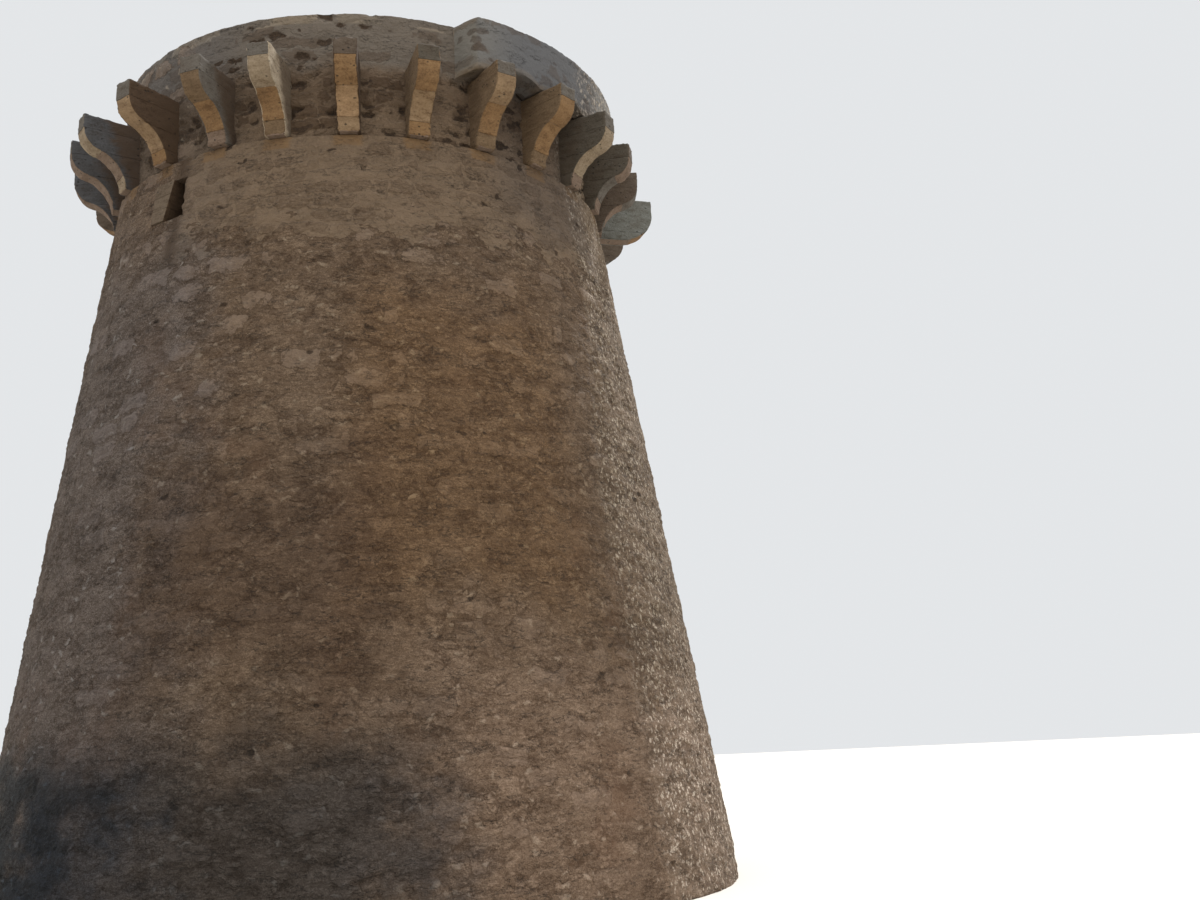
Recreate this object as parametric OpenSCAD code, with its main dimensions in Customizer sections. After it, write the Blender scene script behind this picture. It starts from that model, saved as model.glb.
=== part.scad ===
// Round coastal watchtower of lime-mortared rubble, ringed by stone corbels.
// The body is solid to the height of one raised, vaulted chamber.
// Millimetres, with +Z up and the origin on the axis at the lowest ground.
// Azimuths are in degrees: 0 faces -Y, the side with the loophole, and 90 faces +X.

/* [Battered body] */
// Radius of the body where it meets the lowest ground
base_r = 4330; // [3600:10:5200]
// Lean of the wall inward for each millimetre of height
batter = 0.157; // [0.13:0.001:0.19]
// Height of the corbel feet, where the battered wall stops
wall_top_z = 8160; // [6800:10:9800]

/* [Chamber] */
// Height of the chamber from its floor to the top of its wall
chamber_h = 2960; // [2450:10:3600]
// Thickness of the floor paving
floor_t = 200; // [100:10:300]
// Thickness of the chamber wall at its top
chamber_wall_t = 1250; // [1050:10:1500]
// Rise of the vault above the chamber wall
vault_rise = 450; // [300:10:600]

/* [Doorway] */
// Width of the doorway
door_w = 800; // [600:10:1000]
// Height of the doorway above the chamber floor
door_h = 1700; // [1400:10:2050]
// Width of each dressed jamb stone
door_jamb_w = 250; // [150:10:350]
// Height of the lintel over the doorway
door_lintel_h = 300; // [200:10:400]

/* [Loophole] */
// Height of the lintel over the loophole, up to the corbel feet
slit_lintel_h = 240; // [150:10:400]
// Height of the loophole
slit_h = 490; // [400:10:600]
// Width of the loophole at its outer face
slit_w = 270; // [150:10:350]
// Width of the loophole at its inner face
slit_inner_w = 600; // [400:10:700]
// Half width of the masonry that frames the loophole
slit_zone = 450; // [400:10:550]
// Height of the sill stone
slit_sill_h = 160; // [100:10:250]

/* [Corbels] */
// Number of corbels round the tower
corbel_count = 25; // [21:1:27]
// Azimuth of the first corbel
corbel_az = -5.6; // [-7:0.1:-4]
// Width of a corbel
corbel_w = 280; // [200:10:340]
// Height of a corbel from foot to top
corbel_h = 860; // [700:10:1000]
// Reach of a corbel out from the wall behind it
corbel_reach = 660; // [450:10:800]
// Height of the upright nose of a corbel
nose_h = 240; // [150:10:350]
// Radius of the swell under the nose
swell_r = 250; // [100:10:320]
// Stand of the corbel feet in front of the wall under them
foot_reach = 100; // [0:10:160]
// Height of the top stone of a corbel
top_stone_h = 235; // [150:5:300]
// Height of the stone under the top one
second_stone_h = 250; // [150:5:300]
// Height of the third stone, above the foot stone
third_stone_h = 215; // [150:5:260]
// Height of the mortar joints between the stones
joint_h = 14; // [6:1:24]
// Depth that the mortar joints are worn back
joint_depth = 16; // [5:1:30]
// Depth that a corbel is built into the wall
tail = 400; // [200:10:400]
// Reach of the two longer corbels out from the wall behind them
long_reach = 1030; // [750:10:1200]
// Height of the upright nose of a longer corbel
long_nose_h = 210; // [150:10:320]
// Radius of the big swell under its nose, down to its level underside
long_swell_r = 420; // [250:10:460]
// Height of the top stone of a longer corbel
long_stone_h = 500; // [400:10:550]

/* [Parapet] */
// Step back of the upper wall behind the corbel feet
setback = 70; // [40:10:120]
// Thickness of the parapet and of the upper wall
parapet_t = 500; // [410:1:600]
// Height of the parapet above the corbels
parapet_h = 660; // [400:10:1200]
// Thickness of the terrace paving
paving_t = 120; // [60:10:200]
// Stand of the projecting length of parapet in front of the rest
jut = 350; // [200:10:450]
// Rise of the small arches under the projecting length
soffit_rise = 90; // [50:10:140]

/* [Hidden] */

// The eighths of the round wall and parapet start at these azimuths
eighth = 45;
// Corbels that start each of the four groups, and the end of the last one
group_starts = [0, 6, 12, 18, corbel_count];
// The two longer corbels, and the first, middle and last corbel under the projecting parapet
long_indices = [10, 11];
jut_first = 5;
jut_middle = 7;
jut_last = 9;
// Azimuth that the projecting parapet reaches past its end corbels
jut_overhang = 2.9;

corbel_pitch = 360 / corbel_count;
wall_top_r = base_r - batter * wall_top_z;
chamber_r = wall_top_r - chamber_wall_t;
floor_z = wall_top_z - chamber_h;
parapet_r = wall_top_r - setback;
band_top_z = wall_top_z + corbel_h;
rim_z = band_top_z + parapet_h;
// Undersides of the mortar joints in a corbel, from the top one down
joint_heights = [
  band_top_z - top_stone_h - joint_h,
  band_top_z - top_stone_h - second_stone_h - 2 * joint_h,
  band_top_z - top_stone_h - second_stone_h - third_stone_h - 3 * joint_h
];
// Underside of the one mortar joint in a longer corbel
long_joint_heights = [band_top_z - long_stone_h - joint_h];
parapet_inner_r = parapet_r - parapet_t;
jut_r = parapet_r + jut;
vault_top_z = band_top_z - paving_t;
vault_sphere_r = (chamber_r * chamber_r + vault_rise * vault_rise) / (2 * vault_rise);
door_zone = door_w / 2 + door_jamb_w;
door_top_z = floor_z + door_h;
door_lintel_top_z = door_top_z + door_lintel_h;
slit_top_z = wall_top_z - slit_lintel_h;
slit_z = slit_top_z - slit_h;
// Larger than anything that is cut
reach = 2 * base_r;
// Facets of a full circle in a preview
$fn = 360;
// Points along each rounded stretch of a corbel
curve_steps = 6;

function wall_r(z) = base_r - batter * z;
function compass(r, az) = [r * sin(az), -r * cos(az)];
function corbel_azimuth(i) = corbel_az + corbel_pitch * i;
function group_edge(g) = corbel_azimuth(group_starts[g] - 0.5);
function arc(centre, r, from, to) = [
  for (k = [0 : curve_steps])
    centre + r * [cos(from + (to - from) * k / curve_steps), sin(from + (to - from) * k / curve_steps)]
];

// A wedge about the axis between two azimuths, from z0 to z1
module wedge(from, to, z0, z1) {
  middle = (from + to) / 2;
  translate([0, 0, z0])
    linear_extrude(height = z1 - z0)
      polygon([[0, 0], compass(reach, from), compass(reach, middle), compass(reach, to)]);
}

// A ring about the axis
module ring(inner, outer, z0, z1) {
  rotate_extrude()
    polygon([[inner, z0], [outer, z0], [outer, z1], [inner, z1]]);
}

// The whole battered wall round the chamber and the fill under it
module battered_wall() {
  rotate_extrude()
    polygon([[chamber_r, 0], [base_r, 0], [wall_top_r, wall_top_z], [chamber_r, wall_top_z]]);
}

// An upright slab through the wall on the loophole's side (side = -1) or the doorway's (side = 1)
module through_slab(side, x0, x1, z0, z1) {
  translate([x0, side < 0 ? -reach : 0, z0])
    cube([x1 - x0, reach, z1 - z0]);
}

module core_fill() {
  color("tan")
    cylinder(r = chamber_r, h = floor_z - floor_t);
}

module chamber_floor() {
  color("darkkhaki")
    translate([0, 0, floor_z - floor_t])
      cylinder(r = chamber_r, h = floor_t);
}

// One eighth of the battered wall, stopping at the framed openings
module wall_eighth(index) {
  color("tan")
    difference() {
      intersection() {
        battered_wall();
        wedge(index * eighth, (index + 1) * eighth, 0, wall_top_z);
      }
      through_slab(-1, -slit_zone, slit_zone, -1, wall_top_z + 1);
      through_slab(1, -door_zone, door_zone, -1, wall_top_z + 1);
    }
}

// A length of the battered wall on one side, between two upright planes and two heights
module wall_block(side, half_width, z0, z1) {
  intersection() {
    battered_wall();
    through_slab(side, -half_width, half_width, z0, z1);
  }
}

module wall_under_loophole() {
  color("tan")
    wall_block(-1, slit_zone, 0, slit_z - slit_sill_h);
}

module loophole_sill() {
  color("wheat")
    wall_block(-1, slit_zone, slit_z - slit_sill_h, slit_z);
}

// Both jambs, splayed so that the slit widens towards the chamber
module loophole_jambs() {
  outer_y = -wall_r(slit_z);
  inner_y = -chamber_r;
  splay = (slit_inner_w - slit_w) / 2 / (inner_y - outer_y);
  function half_gap(y) = slit_w / 2 + splay * (y - outer_y);
  color("wheat")
    difference() {
      wall_block(-1, slit_zone, slit_z, slit_top_z);
      translate([0, 0, slit_z - 1])
        linear_extrude(height = slit_h + 2)
          polygon([
            [-slit_w / 2, outer_y - 1], [slit_w / 2, outer_y - 1],
            [slit_w / 2, outer_y], [half_gap(0), 0],
            [-half_gap(0), 0], [-slit_w / 2, outer_y]
          ]);
    }
}

module loophole_lintel() {
  color("wheat")
    wall_block(-1, slit_zone, slit_top_z, wall_top_z);
}

module wall_under_doorway() {
  color("tan")
    wall_block(1, door_zone, 0, floor_z - floor_t);
}

module doorway_threshold() {
  color("wheat")
    wall_block(1, door_zone, floor_z - floor_t, floor_z);
}

// One jamb of the doorway: side is 1 for +X and -1 for -X
module doorway_jamb(side) {
  color("wheat")
    intersection() {
      battered_wall();
      through_slab(1, min(side * door_w / 2, side * door_zone), max(side * door_w / 2, side * door_zone),
        floor_z, door_top_z);
    }
}

module doorway_lintel() {
  color("wheat")
    wall_block(1, door_zone, door_top_z, door_lintel_top_z);
}

module wall_over_doorway() {
  color("tan")
    wall_block(1, door_zone, door_lintel_top_z, wall_top_z);
}

// A shallow dome over the chamber, level on top under the terrace
module vault() {
  color("burlywood")
    difference() {
      translate([0, 0, wall_top_z])
        cylinder(r = parapet_inner_r, h = vault_top_z - wall_top_z);
      translate([0, 0, wall_top_z + vault_rise - vault_sphere_r])
        sphere(r = vault_sphere_r);
    }
}

module terrace_paving() {
  color("darkkhaki")
    translate([0, 0, vault_top_z])
      cylinder(r = parapet_inner_r, h = paving_t);
}

// Side view of a corbel: level top, upright nose, swell under it and hollow down to the foot
module corbel_outline() {
  nose_r = parapet_r + corbel_reach;
  nose_z = band_top_z - nose_h;
  foot_r = wall_top_r + foot_reach;
  turn = 2 * atan2(nose_r - foot_r, nose_z - wall_top_z);
  hollow_r = (nose_z - wall_top_z) / sin(turn) - swell_r;
  polygon(concat(
    [[parapet_r - tail, wall_top_z], [parapet_r - tail, band_top_z], [nose_r, band_top_z]],
    arc([nose_r - swell_r, nose_z], swell_r, 0, -turn),
    arc([foot_r + hollow_r, wall_top_z], hollow_r, 180 - turn, 180)
  ));
}

// Side view of a longer corbel, which has no foot stones and is level underneath
module long_corbel_outline() {
  nose_r = parapet_r + long_reach;
  nose_z = band_top_z - long_nose_h;
  polygon(concat(
    [[parapet_r - tail, nose_z - long_swell_r], [parapet_r - tail, band_top_z], [nose_r, band_top_z]],
    arc([nose_r - long_swell_r, nose_z], long_swell_r, 0, -90)
  ));
}

// Turns a side view into a corbel at its place in the ring, as stones on recessed joints
module place_corbel(index, joints) {
  rotate([0, 0, corbel_azimuth(index) - 90])
    difference() {
      upright(corbel_w)
        children();
      difference() {
        for (z = joints)
          translate([parapet_r, -corbel_w, z])
            cube([2 * long_reach, 2 * corbel_w, joint_h]);
        upright(corbel_w - 2 * joint_depth)
          translate([-joint_depth, 0])
            children();
      }
    }
}

// A side view stood up and given a width
module upright(width) {
  rotate([90, 0, 0])
    linear_extrude(height = width, center = true)
      children();
}

// The corbels of one group, leaving out the longer ones
module corbel_group(g) {
  color("peru")
    for (i = [group_starts[g] : group_starts[g + 1] - 1])
      if (len(search(i, long_indices)) == 0)
        place_corbel(i, joint_heights)
          corbel_outline();
}

module long_corbel() {
  color("peru")
    for (i = long_indices)
      place_corbel(i, long_joint_heights)
        long_corbel_outline();
}

// The upright wall behind the corbels, with a pocket for each tail
module corbel_wall(g) {
  color("rosybrown")
    difference() {
      intersection() {
        ring(parapet_inner_r, parapet_r, wall_top_z, band_top_z);
        wedge(group_edge(g), group_edge(g + 1), wall_top_z, band_top_z);
      }
      for (i = [group_starts[g] : group_starts[g + 1] - 1])
        rotate([0, 0, corbel_azimuth(i) - 90])
          translate([parapet_r - tail, -corbel_w / 2, wall_top_z - 1])
            cube([2 * tail, corbel_w, corbel_h + 2]);
    }
}

module parapet_eighth(index) {
  color("rosybrown")
    intersection() {
      ring(parapet_inner_r, parapet_r, band_top_z, rim_z);
      wedge(index * eighth, (index + 1) * eighth, band_top_z, rim_z);
    }
}

// The projecting parapet between two azimuths, arched from corbel to corbel
module projecting_parapet(from, to, first, last) {
  gap = 2 * jut_r * sin(corbel_pitch / 2) - corbel_w;
  arch_r = (gap * gap / 4 + soffit_rise * soffit_rise) / (2 * soffit_rise);
  color("rosybrown")
    difference() {
      intersection() {
        ring(parapet_r, jut_r, band_top_z, rim_z);
        wedge(from, to, band_top_z, rim_z);
      }
      for (i = [first : last - 1])
        rotate([0, 0, corbel_azimuth(i + 0.5) - 90])
          translate([parapet_inner_r, 0, band_top_z + soffit_rise - arch_r])
            rotate([0, 90, 0])
              cylinder(r = arch_r, h = parapet_t + 2 * jut);
    }
}

core_fill();
chamber_floor();
wall_eighth(0);  // wall_front_right
wall_eighth(1);  // wall_right_front
wall_eighth(2);  // wall_right_back
wall_eighth(3);  // wall_back_right
wall_eighth(4);  // wall_back_left
wall_eighth(5);  // wall_left_back
wall_eighth(6);  // wall_left_front
wall_eighth(7);  // wall_front_left
wall_under_loophole();
loophole_sill();
loophole_jambs();
loophole_lintel();
wall_under_doorway();
doorway_threshold();
doorway_jamb(-1);  // doorway_jamb_left
doorway_jamb(1);  // doorway_jamb_right
doorway_lintel();
wall_over_doorway();
vault();
terrace_paving();
corbel_wall(0);  // corbel_wall_front_right
corbel_wall(1);  // corbel_wall_back_right
corbel_wall(2);  // corbel_wall_back_left
corbel_wall(3);  // corbel_wall_front_left
corbel_group(0);  // corbels_front_right
corbel_group(1);  // corbels_back_right
corbel_group(2);  // corbels_back_left
corbel_group(3);  // corbels_front_left
long_corbel();
parapet_eighth(0);  // parapet_front_right
parapet_eighth(1);  // parapet_right_front
parapet_eighth(2);  // parapet_right_back
parapet_eighth(3);  // parapet_back_right
parapet_eighth(4);  // parapet_back_left
parapet_eighth(5);  // parapet_left_back
parapet_eighth(6);  // parapet_left_front
parapet_eighth(7);  // parapet_front_left
projecting_parapet(corbel_azimuth(jut_first) - jut_overhang, corbel_azimuth(jut_middle), jut_first, jut_middle);  // projecting_parapet_front
projecting_parapet(corbel_azimuth(jut_middle), corbel_azimuth(jut_last) + jut_overhang, jut_middle, jut_last);  // projecting_parapet_back
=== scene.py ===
# %% [markdown]
# A round coastal watchtower
#
# The tower is a battered drum of lime-mortared rubble. Under its parapet stands a ring of
# stone corbels, each built of a few stones with an ogee profile. The construction model is
# loaded as a fixed frame, and this lesson puts the weathered stone skin on it: walls whose
# relief is real geometry, corbels built stone by stone, and materials whose stones lie
# where the relief has them.

import math
from types import SimpleNamespace

import bpy
import numpy as np
from mathutils import Matrix, Vector


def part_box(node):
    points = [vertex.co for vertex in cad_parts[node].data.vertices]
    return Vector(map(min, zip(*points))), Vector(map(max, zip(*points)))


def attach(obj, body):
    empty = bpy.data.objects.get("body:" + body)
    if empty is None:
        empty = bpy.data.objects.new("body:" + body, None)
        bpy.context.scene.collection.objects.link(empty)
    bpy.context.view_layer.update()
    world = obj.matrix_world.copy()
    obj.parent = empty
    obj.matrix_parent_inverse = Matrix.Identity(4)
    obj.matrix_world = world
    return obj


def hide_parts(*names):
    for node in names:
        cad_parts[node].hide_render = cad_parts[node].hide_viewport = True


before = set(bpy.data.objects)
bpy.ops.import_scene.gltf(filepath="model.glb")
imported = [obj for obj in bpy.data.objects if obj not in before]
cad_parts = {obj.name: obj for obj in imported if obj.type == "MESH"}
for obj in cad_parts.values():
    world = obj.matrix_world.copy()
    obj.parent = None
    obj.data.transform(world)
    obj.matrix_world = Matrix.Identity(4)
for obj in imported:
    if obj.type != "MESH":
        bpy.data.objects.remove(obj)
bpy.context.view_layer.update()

# %% [markdown]
# Sizes first
#
# Every size comes from the frame's own boxes, so the skin fits the construction however its
# sizes are changed there. Only what a box can't tell is named here in metres. Azimuths run
# from the side with the loophole, which faces -Y, towards +X.

# %% Sizes read from the frame
base_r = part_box("wall_right_front")[1].x
wall_top_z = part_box("wall_right_front")[1].z
chamber_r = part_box("core_fill")[1].x
floor_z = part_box("chamber_floor")[1].z
threshold_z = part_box("doorway_threshold")[0].z
parapet_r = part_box("parapet_right_front")[1].x
band_top_z, rim_z = (corner.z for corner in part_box("parapet_right_front"))
parapet_inner_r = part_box("vault")[1].x
slit_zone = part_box("loophole_sill")[1].x
sill_z, slit_z = (corner.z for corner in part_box("loophole_sill"))
slit_top_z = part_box("loophole_lintel")[0].z
door_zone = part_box("doorway_lintel")[1].x
door_half = -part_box("doorway_jamb_left")[1].x
door_top_z, door_lintel_top_z = (corner.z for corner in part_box("doorway_lintel"))
print("base radius", round(base_r, 3), "wall top", round(wall_top_z, 3), "rim", round(rim_z, 3))

# %% Sizes that a box does not tell
batter = 0.157
wall_top_r = base_r - batter * wall_top_z
slit_half = 0.135
slit_inner_half = 0.30
jut = 0.35
jut_r = parapet_r + jut
jut_overhang = 2.9
soffit_rise = 0.09
corbel_count = 25
corbel_az = -5.6
corbel_pitch = 360 / corbel_count
corbel_w = 0.28
corbel_reach = 0.66
foot_reach = 0.1
nose_h = 0.24
swell_r = 0.25
stone_heights = [0.235, 0.25, 0.215]
long_first = 10
long_count = 2
long_reach = 1.03
long_nose_h = 0.21
long_swell_r = 0.42
long_stone_h = 0.5
joint_h = 0.004


def wall_r(z):
    return base_r - batter * z


def corbel_azimuth(index):
    return corbel_az + corbel_pitch * index


print("corbels every", corbel_pitch, "degrees")

# %% [markdown]
# Node trees written as sums
#
# Both the relief and the colours are made by node trees. A long chain of Math nodes is hard
# to read, so a small class wraps a socket and lets the usual signs add those nodes. The same
# class serves geometry and shader trees, because they share their texture and maths nodes.

# %% The graph helper


class Value:
    """A socket in a node tree. The usual signs on it add Math nodes."""

    def __init__(self, graph, socket):
        self.graph = graph
        self.socket = socket

    def maths(self, operation, *others):
        return self.graph.maths(operation, self, *others)

    def __add__(self, other):
        return self.maths("ADD", other)

    def __mul__(self, other):
        return self.maths("MULTIPLY", other)

    def __sub__(self, other):
        return self.maths("SUBTRACT", other)

    def __rsub__(self, other):
        return self.graph.maths("SUBTRACT", other, self)

    __radd__ = __add__
    __rmul__ = __mul__

    def step(self, low, high, start=0.0, end=1.0):
        """A soft step from start to end as the value goes from low to high."""
        values = dict(enumerate((self, low, high, start, end)))
        return self.graph.node("ShaderNodeMapRange", {"interpolation_type": "SMOOTHSTEP"}, values)

    def over(self, limit):
        return self.maths("GREATER_THAN", limit)

    def rim(self):
        """1 halfway through a soft step, and 0 at both its ends."""
        return self * (1.0 - self) * 4.0


class Graph:
    """A node tree with one method that adds any node, and short names for common ones."""

    def __init__(self, tree):
        self.tree = tree

    def node(self, kind, settings=None, inputs=None, output=0):
        made = self.tree.nodes.new(kind)
        for name, value in (settings or {}).items():
            setattr(made, name, value)
        for key, value in (inputs or {}).items():
            if isinstance(value, Value):
                self.tree.links.new(value.socket, made.inputs[key])
            else:
                made.inputs[key].default_value = value
        if isinstance(output, tuple):
            return [Value(self, made.outputs[key]) for key in output]
        return Value(self, made.outputs[output])

    def maths(self, operation, *values):
        return self.node("ShaderNodeMath", {"operation": operation}, dict(enumerate(values)))

    def vector(self, operation, *values, output=0):
        return self.node("ShaderNodeVectorMath", {"operation": operation}, dict(enumerate(values)), output)

    def scaled(self, vector, *factors):
        return self.vector("MULTIPLY", vector, factors)

    def shifted(self, vector, offset):
        return self.vector("ADD", vector, offset)

    def parts(self, vector):
        return self.node("ShaderNodeSeparateXYZ", {}, {0: vector}, (0, 1, 2))

    def joined(self, x=0.0, y=0.0, z=0.0):
        return self.node("ShaderNodeCombineXYZ", {}, {0: x, 1: y, 2: z})

    def from_axis(self, place):
        """Metres from the axis of the tower."""
        return self.vector("LENGTH", self.scaled(place, 1, 1, 0), output="Value")

    def noise(self, vector, scale, detail, roughness, beds=1.0, output="Fac"):
        """Noise from 0 to 1, flattened into beds where that is over 1."""
        if beds != 1.0:
            vector = self.scaled(vector, 1.0, 1.0, beds)
        values = {"Vector": vector, "Scale": scale, "Detail": detail, "Roughness": roughness}
        return self.node("ShaderNodeTexNoise", {}, values, output)

    def stirred(self, vector, place, scale, detail, roughness, reach):
        """The vector with each of its parts moved by a noise at the place."""
        swirl = self.noise(place, scale, detail, roughness, output="Color")
        return self.shifted(vector, self.scaled(swirl, reach, reach, reach))

    def cells(self, vector, scale, feature="F1", output="Distance"):
        values = {"Vector": vector, "Scale": scale}
        return self.node("ShaderNodeTexVoronoi", {"feature": feature}, values, output)

    def lucky_cells(self, vector, scale=1.0):
        """The distance from the middle of a cell, and the luck of the cell from 0 to 1."""
        distance, colour = self.cells(vector, scale, output=("Distance", "Color"))
        return distance, self.parts(colour)[0]

    def mix(self, first, second, factor):
        return self.node("ShaderNodeMix", {"data_type": "RGBA"}, {0: factor, 6: first, 7: second}, 2)

    def attribute(self, name):
        """A number stored on the mesh, in a shader tree."""
        return self.node("ShaderNodeAttribute", {"attribute_name": name}, {}, "Fac")

    def stored(self, name, kind="FLOAT"):
        """A value stored on the mesh, in a geometry tree."""
        return self.node("GeometryNodeInputNamedAttribute", {"data_type": kind}, {0: name})

    def moved(self, geometry, offset):
        return self.node("GeometryNodeSetPosition", {}, {"Geometry": geometry, "Offset": offset})


print("graph helper ready")

# %% [markdown]
# Closed shells on a grid
#
# Each piece of the skin is one closed mesh whose points lie on the faces of a bent block.
# A function says where a point lies from its shares across, into and up the block, so the
# same helper makes a length of round wall and a stone of a corbel. Faces that show get a
# fine grid and an outward direction, along which the weathering will wear them back.

# %% The shell helper
# The axis of each face of a block, and the end of that axis where it lies
face_ends = {"outer": (1, 0), "inner": (1, -1), "start": (0, 0), "end": (0, -1), "top": (2, -1),
             "bottom": (2, 0)}
turned_faces = ("inner", "start", "bottom")
wear_reach = 0.12
lip = 0.018
# How far down an outward direction points on a face that is seen from below
from_below = -0.5


def even(length, cell):
    """Shares from 0 to 1 in equal steps of about one cell."""
    return np.linspace(0, 1, max(1, round(length / cell)) + 1)


def lipped(length, cell):
    """Shares as even() gives them, with a narrow first and last step that makes a crisp edge."""
    inside = np.linspace(lip / length, 1 - lip / length, max(1, round(length / cell)) + 1)
    return np.concatenate([[0], inside, [1]])


def face_grids(index):
    """The grid of points of each face of a block, turned so that its quads face outwards."""
    grids = {face: index.take(end, axis) for face, (axis, end) in face_ends.items()}
    return {face: grid.T if face in turned_faces else grid for face, grid in grids.items()}


def grid_quads(grid):
    corners = grid[:-1, :-1], grid[1:, :-1], grid[1:, 1:], grid[:-1, 1:]
    return np.stack(corners, -1).reshape(-1, 4).tolist()


def inner_strips(grid):
    """The inner face of a block as one upright strip between each two columns of points."""
    pairs = zip(grid[:-1], grid[1:])
    return [left[left >= 0].tolist() + right[right >= 0][::-1].tolist() for left, right in pairs]


def shell(shares, place, worn, course=0.0):
    """A closed block. shares are its steps across, into and up, and worn names the faces that show."""
    index = np.full([len(steps) for steps in shares], -1)
    skin = np.zeros(index.shape, bool)
    skin[[0, -1]] = True
    skin[:, [0, -1]] = True
    skin[:, :, [0, -1]] = True
    if "inner" not in worn:
        skin[1:-1, -1, 1:-1] = False
    index[skin] = np.arange(skin.sum())
    spot = np.nonzero(skin)
    points = place(*(steps[at] for steps, at in zip(shares, spot)))
    grids = face_grids(index)
    outward = np.zeros_like(points)
    met = np.zeros(len(points))
    for face in worn:
        grid = grids[face]
        corner = points[grid]
        normal = np.cross(np.gradient(corner, axis=0), np.gradient(corner, axis=1))
        facing = np.zeros_like(points)
        facing[grid] = normal / np.linalg.norm(normal, axis=2, keepdims=True)
        # Points a little way in from a face move with it, so that a worn edge stays whole
        axis, end = face_ends[face]
        nearest = list(spot)
        nearest[axis] = np.full_like(spot[axis], end % index.shape[axis])
        nearest = index[tuple(nearest)]
        away = np.linalg.norm(points - points[nearest], axis=1)
        outward += facing[nearest] * np.clip(1 - away / wear_reach, 0, 1)[:, None]
        met[grid] += 1
    faces = []
    for face, grid in grids.items():
        if face == "inner" and "inner" not in worn:
            faces += inner_strips(index[:, -1, :])
        else:
            faces += grid_quads(grid)
    beside = ((spot[0] == 0) | (spot[0] == index.shape[0] - 1)) & (spot[1] > 0)
    return {"points": points, "faces": faces, "outward": outward, "edge": np.maximum(met - 1, 0),
            "course": np.full(len(points), course), "beside": beside, "flank": outward[:, 2] < from_below}


def put(name, data):
    """A new object in the scene."""
    made = bpy.data.objects.new(name, data)
    bpy.context.scene.collection.objects.link(made)
    return made


def store(mesh, name, kind, values):
    key = "vector" if kind == "FLOAT_VECTOR" else "value"
    mesh.attributes.new(name, kind, "POINT").data.foreach_set(key, np.ravel(values).astype(np.float32))


def shell_object(name, shells):
    """One object from one or more closed blocks."""
    starts = np.cumsum([0] + [len(s["points"]) for s in shells])
    faces = [[p + first for p in face] for s, first in zip(shells, starts) for face in s["faces"]]
    keys = ("points", "outward", "edge", "course", "flank")
    joined = {key: np.concatenate([s[key] for s in shells]) for key in keys}
    mesh = bpy.data.meshes.new(name)
    mesh.from_pydata(joined.pop("points").tolist(), [], faces)
    for key, values in joined.items():
        store(mesh, key, "FLOAT_VECTOR" if key == "outward" else "FLOAT", values)
    return put(name, mesh)


print("shell helper ready")

# %% Places on a round wall
# The fuller face starts at the foot over this height
foot_fade = 0.4
# How far up an outward direction points at most on the leaning face, and on a worn top
leaning = 0.3
top_wear = 0.4
# A cell that is longer than any wall is thick
one_step = 9.0


def level(azimuth):
    """An end of a length of wall that lies at one azimuth."""
    return lambda r: np.full_like(r, azimuth)


def upright(centre, half):
    """An end that is an upright plane, half metres to the side of the azimuth centre."""
    return lambda r: centre + np.degrees(np.arcsin(half / r))


def round_place(r, azimuth, z):
    angle = np.radians(azimuth)
    return np.stack([r * np.sin(angle), -r * np.cos(angle), z], 1)


def wall_length(start, end, low, high, worn, cell, inner, outer=wall_r, depth_cell=one_step, course=0.0,
                fuller=0.0):
    """A closed length of round wall with square steps of about one cell where it shows.

    outer gives its radius at a height, and fuller the metres that the weathering may take off."""

    def place(across, into, up):
        z = low + (high - low) * up
        face = outer(z) + fuller * np.clip(z / foot_fade, 0, 1)
        r = face + (inner - face) * into
        return round_place(r, start(r) + (end(r) - start(r)) * across, z)

    middle = np.array([outer((low + high) / 2)])
    width = math.radians(float((end(middle) - start(middle))[0])) * middle[0]
    thickness = middle[0] - inner
    deep = lipped(thickness, depth_cell) if depth_cell < thickness else even(thickness, depth_cell)
    made = shell((even(width, cell), deep, even(high - low, cell)), place, worn, course)
    upward = made["outward"][:, 2]
    # The leaning face wears straight inwards, so that the foot stays on the ground
    upward[np.abs(upward) < leaning] = 0
    # A top that shows wears less, because only a shallow rain runs over it
    made["outward"][:, 2] = np.minimum(upward, top_wear)
    return made


print("upper wall radius", round(parapet_r, 3), "projecting radius", round(jut_r, 3))

# %% [markdown]
# The pattern of the masonry
#
# Rubble walling is stones of every size laid in rough rows in a bed of lime mortar, worn back
# by the weather until mortar and stone are almost flush. Rows come from the height and the
# stones along a row from a cell texture, and noise bends both. Long slabs and common stones
# have rows of their own, and some hollows show where a soft stone has gone. Noise of several
# sizes gives lumps and grain. The same function builds these nodes for the relief and for the
# colours, so that a hollow is deep and the colours paint shade into it as well.

# %% The masonry fields
slab_size = (0.46, 0.235)
stone_size = (0.36, 0.165)
pebble_steps = (11.0, 11.0, 18.0)
hollow_steps = (4.4, 4.4, 8.6)
# Heights between which the wall turns from drum to corbel band, and from that to parapet
band_z = (8.1, 8.2)
parapet_z = (8.9, 9.2)
# The coat of mortar starts between these heights, on the half turned away from this azimuth
coat_z = (6.97, 7.03)
bare_az = -86


def in_rows(graph, place, size, row_shift):
    """Stones laid in rows: metres in from the edge of a stone, and the three lucks of the stone."""
    width, height = size
    x, y, z = graph.parts(place)
    rows = z * (1 / height)
    to_bed = (rows.maths("FRACT") - 0.5).maths("ABSOLUTE") * -height + height * 0.5
    cell = graph.joined(x * (1 / width), y * (1 / width), rows.maths("FLOOR") * row_shift)
    to_end = graph.cells(cell, 1.0, "DISTANCE_TO_EDGE") * width
    luck = graph.parts(graph.cells(cell, 1.0, output="Color"))
    inside = to_bed * to_end * (to_bed + to_end + 0.001).maths("POWER", -1.0)
    return inside, luck


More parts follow.
